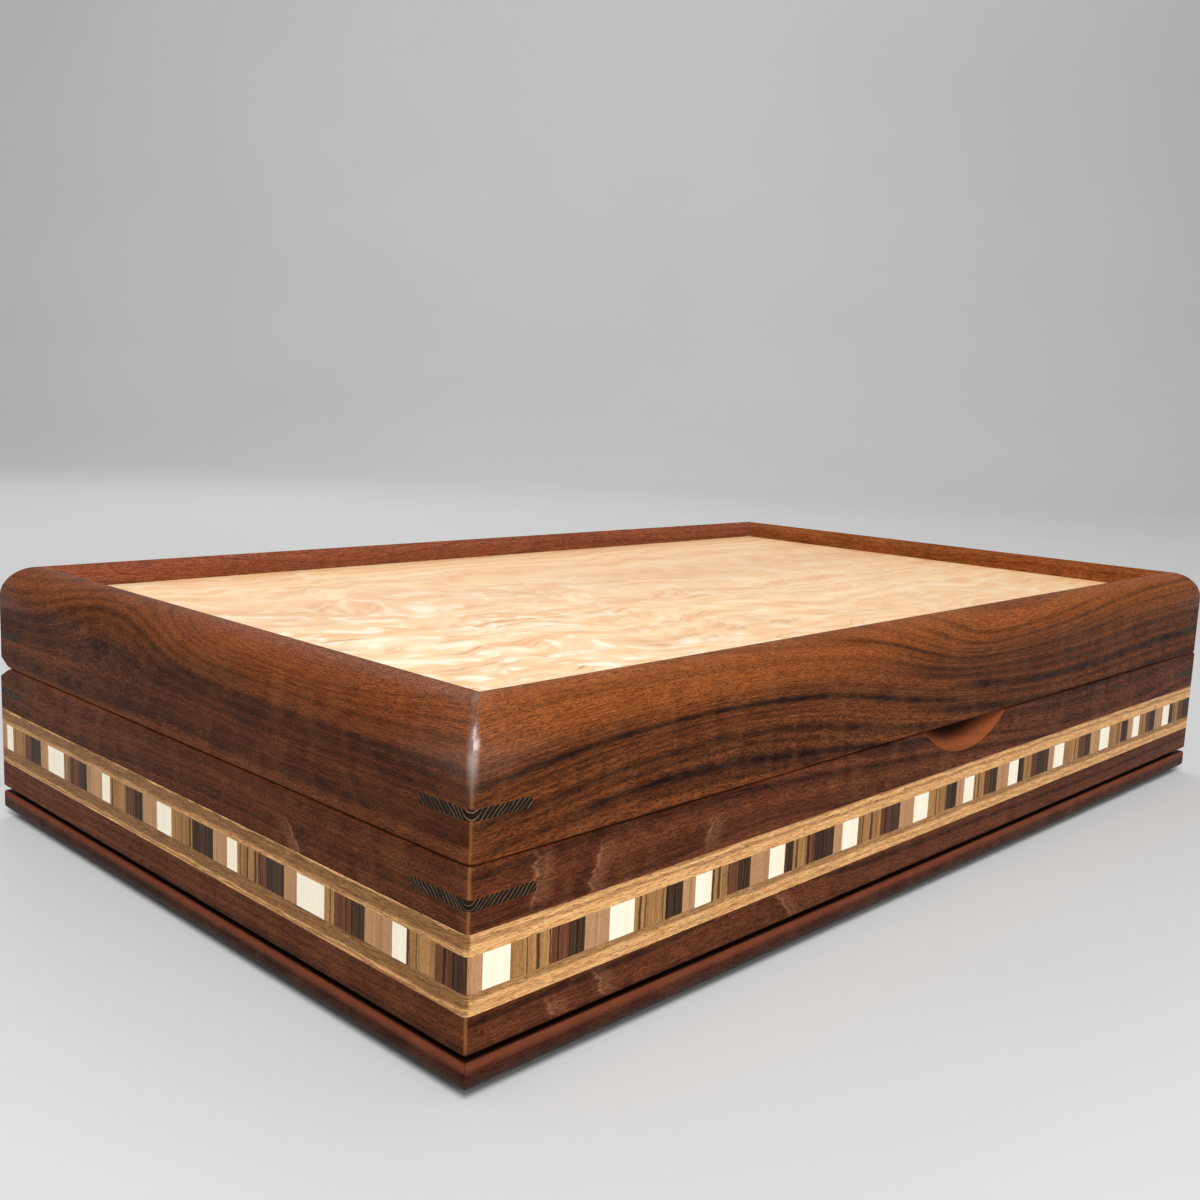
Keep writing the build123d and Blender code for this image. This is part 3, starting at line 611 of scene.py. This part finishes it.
def pressed_felt():
    """Grey felt: matted fibres."""
    finish = Finish("pressed_felt", Sheen_Weight=0.3, Specular_IOR_Level=0.1)
    x, y, z = finish.x, finish.y, finish.z
    mat = finish.clouds(x / 0.5, y / 0.5, z / 0.5, 4.0, 0.75, 1.5)
    colour = finish.mix(mat.between(0.35, 0.65), shade("2a2a29"), shade("4a4947"))
    return finish.done(colour, mat * 0.1 + 0.85, mat, 0.15)


def soft_slab(name, low, high, crown, rim, material, cells):
    """Thin crowned pad in a box: rounded rims, and a surface that isn't quite even."""
    bm = bmesh.new()
    columns, rows = cells
    grid = []
    for column in range(columns + 1):
        line = []
        for row in range(rows + 1):
            x = low.x + (high.x - low.x) * column / columns
            y = low.y + (high.y - low.y) * row / rows
            inside = min(x - low.x, high.x - x, y - low.y, high.y - y)
            drop = rim * (1 - math.sqrt(max(0.0, 1 - (1 - min(inside / rim, 1)) ** 2)))
            uneven = noise.noise(Vector((x * DENTS_PER_METRE, y * DENTS_PER_METRE,
                                         high.z * CHANGE_WITH_HEIGHT)))
            swell = crown * (0.5 + uneven * 0.5) * min(1.0, inside / (rim * 4))
            line.append(bm.verts.new((x, y, high.z - crown - drop + swell)))
        grid.append(line)
    for here, there in zip(grid, grid[1:]):
        for row in range(rows):
            bm.faces.new((here[row], there[row], there[row + 1], here[row + 1]))
    outline = [edge for edge in bm.edges if edge.is_boundary]
    made = bmesh.ops.extrude_edge_only(bm, edges=outline)["geom"]
    for part in made:
        if isinstance(part, bmesh.types.BMVert):
            part.co.z = low.z
    bmesh.ops.contextual_create(bm, geom=[edge for edge in bm.edges if edge.is_boundary])
    bmesh.ops.recalc_face_normals(bm, faces=bm.faces)
    mesh = bpy.data.meshes.new(name)
    bm.to_mesh(mesh)
    bm.free()
    for face in mesh.polygons:
        face.use_smooth = abs(face.normal.z) > LEVEL_ENOUGH
    mesh.materials.append(material)
    piece = bpy.data.objects.new(name, mesh)
    bpy.context.scene.collection.objects.link(piece)
    return piece


def turn_over(piece, low, high):
    """Mirror a pad in its own box, so that its crown faces down."""
    flip = Matrix.Translation((0, 0, low.z + high.z)) @ Matrix.Scale(-1, 4, (0, 0, 1))
    piece.data.transform(flip)
    piece.data.flip_normals()


def node_islands(name):
    """Lowest and highest corners of each separate solid in a node."""
    bm = bmesh.new()
    bm.from_mesh(NODES[name].data)
    bmesh.ops.remove_doubles(bm, verts=bm.verts, dist=SAME_POINT)
    left = set(bm.verts)
    boxes = []
    while left:
        reached = {left.pop()}
        front = list(reached)
        while front:
            vert = front.pop()
            for bond in vert.link_edges:
                other = bond.other_vert(vert)
                if other not in reached:
                    reached.add(other)
                    front.append(other)
        left -= reached
        low = Vector([min(vert.co[axis] for vert in reached) for axis in range(3)])
        high = Vector([max(vert.co[axis] for vert in reached) for axis in range(3)])
        boxes.append((low, high))
    bm.free()
    return sorted(boxes, key=lambda box: (round(box[0].x, 4), box[0].y))


def line_inside():
    """Suede laid on every floor of the box and under its lid."""
    material = suede()
    for node, (body, carrier) in LINED.items():
        for number, (low, high) in enumerate(node_islands(node), 1):
            size = high - low
            cells = [max(LEAST_CELLS, round(side / LINING_CELL)) for side in (size.x, size.y)]
            piece = soft_slab("%s_%d" % (node, number), low, high, LINING_CROWN, LINING_RIM,
                              material, cells)
            if body == "lid":
                turn_over(piece, low, high)
            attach(piece, body)
            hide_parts(node)


def pad_feet():
    """A felt pad under each corner of the plinth."""
    material = pressed_felt()
    for number, (low, high) in enumerate(node_islands("felt_pads"), 1):
        piece = soft_slab("felt_pad_%d" % number, low, high, PAD_CROWN, PAD_RIM, material,
                          PAD_CELLS)
        turn_over(piece, low, high)
        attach(piece, "case")
        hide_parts("felt_pads")


# Camera, found by fitting the box's own edges to the photograph

CAMERA_PLACE = (-0.34558, -0.29875, 0.14072)
CAMERA_YAW = 45.949         # from +Y towards +X
CAMERA_PITCH = -8.871
CAMERA_ROLL = 2.352
CAMERA_LENS = 38.66
SENSOR_WIDTH = 36


def set_camera():
    """The photograph's own viewpoint, with its slight roll."""
    yaw, pitch, roll = (math.radians(a) for a in (CAMERA_YAW, CAMERA_PITCH, CAMERA_ROLL))
    forward = math.cos(pitch)
    ahead = Vector((math.sin(yaw) * forward, math.cos(yaw) * forward, math.sin(pitch)))
    level = Vector((math.cos(yaw), -math.sin(yaw), 0))
    above = level.cross(ahead)
    right = level * math.cos(roll) + above * math.sin(roll)
    up = above * math.cos(roll) - level * math.sin(roll)
    camera = bpy.data.objects.new("camera", bpy.data.cameras.new("camera"))
    camera.data.lens = CAMERA_LENS
    camera.data.sensor_width = SENSOR_WIDTH
    camera.data.clip_start = 0.01
    turn = Matrix((right, up, -ahead)).transposed().to_4x4()
    camera.matrix_world = Matrix.Translation(CAMERA_PLACE) @ turn
    bpy.context.scene.collection.objects.link(camera)
    bpy.context.scene.camera = camera


# Studio

def lamp(name, place, target, size, power):
    """Soft box that faces its target."""
    light = bpy.data.lights.new(name, "AREA")
    light.shape = "RECTANGLE"
    light.size, light.size_y = size
    light.energy = power
    holder = bpy.data.objects.new(name, light)
    holder.location = place
    aim = Vector(target) - Vector(place)
    holder.rotation_euler = aim.to_track_quat("-Z", "Y").to_euler()
    bpy.context.scene.collection.objects.link(holder)


def set_light():
    """Soft white light, the strongest from behind the camera's left shoulder."""
    world = bpy.data.worlds.new("studio")
    world.use_nodes = True
    background = world.node_tree.nodes["Background"]
    background.inputs["Color"].default_value = (1, 1, 1, 1)
    background.inputs["Strength"].default_value = 0.42
    bpy.context.scene.world = world
    lamp("key", (-0.75, -0.71, 1.2), (-0.1, -0.06, 0.05), (0.55, 0.75), 19)
    lamp("back", (0.5, 1.2, 1.1), (0, 0, 0.05), (0.8, 0.5), 5)
    lamp("front", (-0.33, -1.2, 0.45), (0, -0.1, 0.04), (0.8, 0.5), 3)
    lamp("backdrop", (0.9, 0.9, 2.3), (2.3, 2.3, 0.8), (2.0, 0.8), 18)


def sweep():
    """Pale floor that curves up into a backdrop, square to the camera."""
    finish = Finish("pale_paper", Roughness=0.95, Specular_IOR_Level=0.1)
    mottle = finish.clouds(finish.x / 300, finish.y / 300, finish.z / 300, 3.0)
    material = finish.done(finish.mix(mottle, shade("cacaca"), shade("d0d0d0")))
    start, reach, bend, top, half_width, steps = -3.0, 1.6, 1.0, 4.0, 5.0, 24
    profile = [(start, 0.0), (reach, 0.0)]
    for step in range(1, steps + 1):
        angle = step / steps * math.pi / 2
        profile.append((reach + bend * math.sin(angle), bend - bend * math.cos(angle)))
    profile.append((reach + bend, top))
    turn = math.radians(-CAMERA_YAW)
    corners = []
    for ahead, height in profile:
        for side in (-half_width, half_width):
            corners.append((side * math.cos(turn) - ahead * math.sin(turn),
                            side * math.sin(turn) + ahead * math.cos(turn), height))
    faces = [(2 * n, 2 * n + 1, 2 * n + 3, 2 * n + 2) for n in range(len(profile) - 1)]
    mesh = bpy.data.meshes.new("floor")
    mesh.from_pydata(corners, [], faces)
    mesh.materials.append(material)
    for face in mesh.polygons:
        face.use_smooth = True
    floor = bpy.data.objects.new("floor", mesh)
    bpy.context.scene.collection.objects.link(floor)


set_camera()
set_light()
sweep()
dress_walnut()
dress_lid_panel()
dress_band()
dress_keys()
dress_shadow_gap()
birch("birch_bottom", "case_bottom")
birch("birch_tray_floor", "tray_floor")
dress_hinges()
line_inside()
pad_feet()
bpy.context.scene.view_settings.view_transform = "Standard"
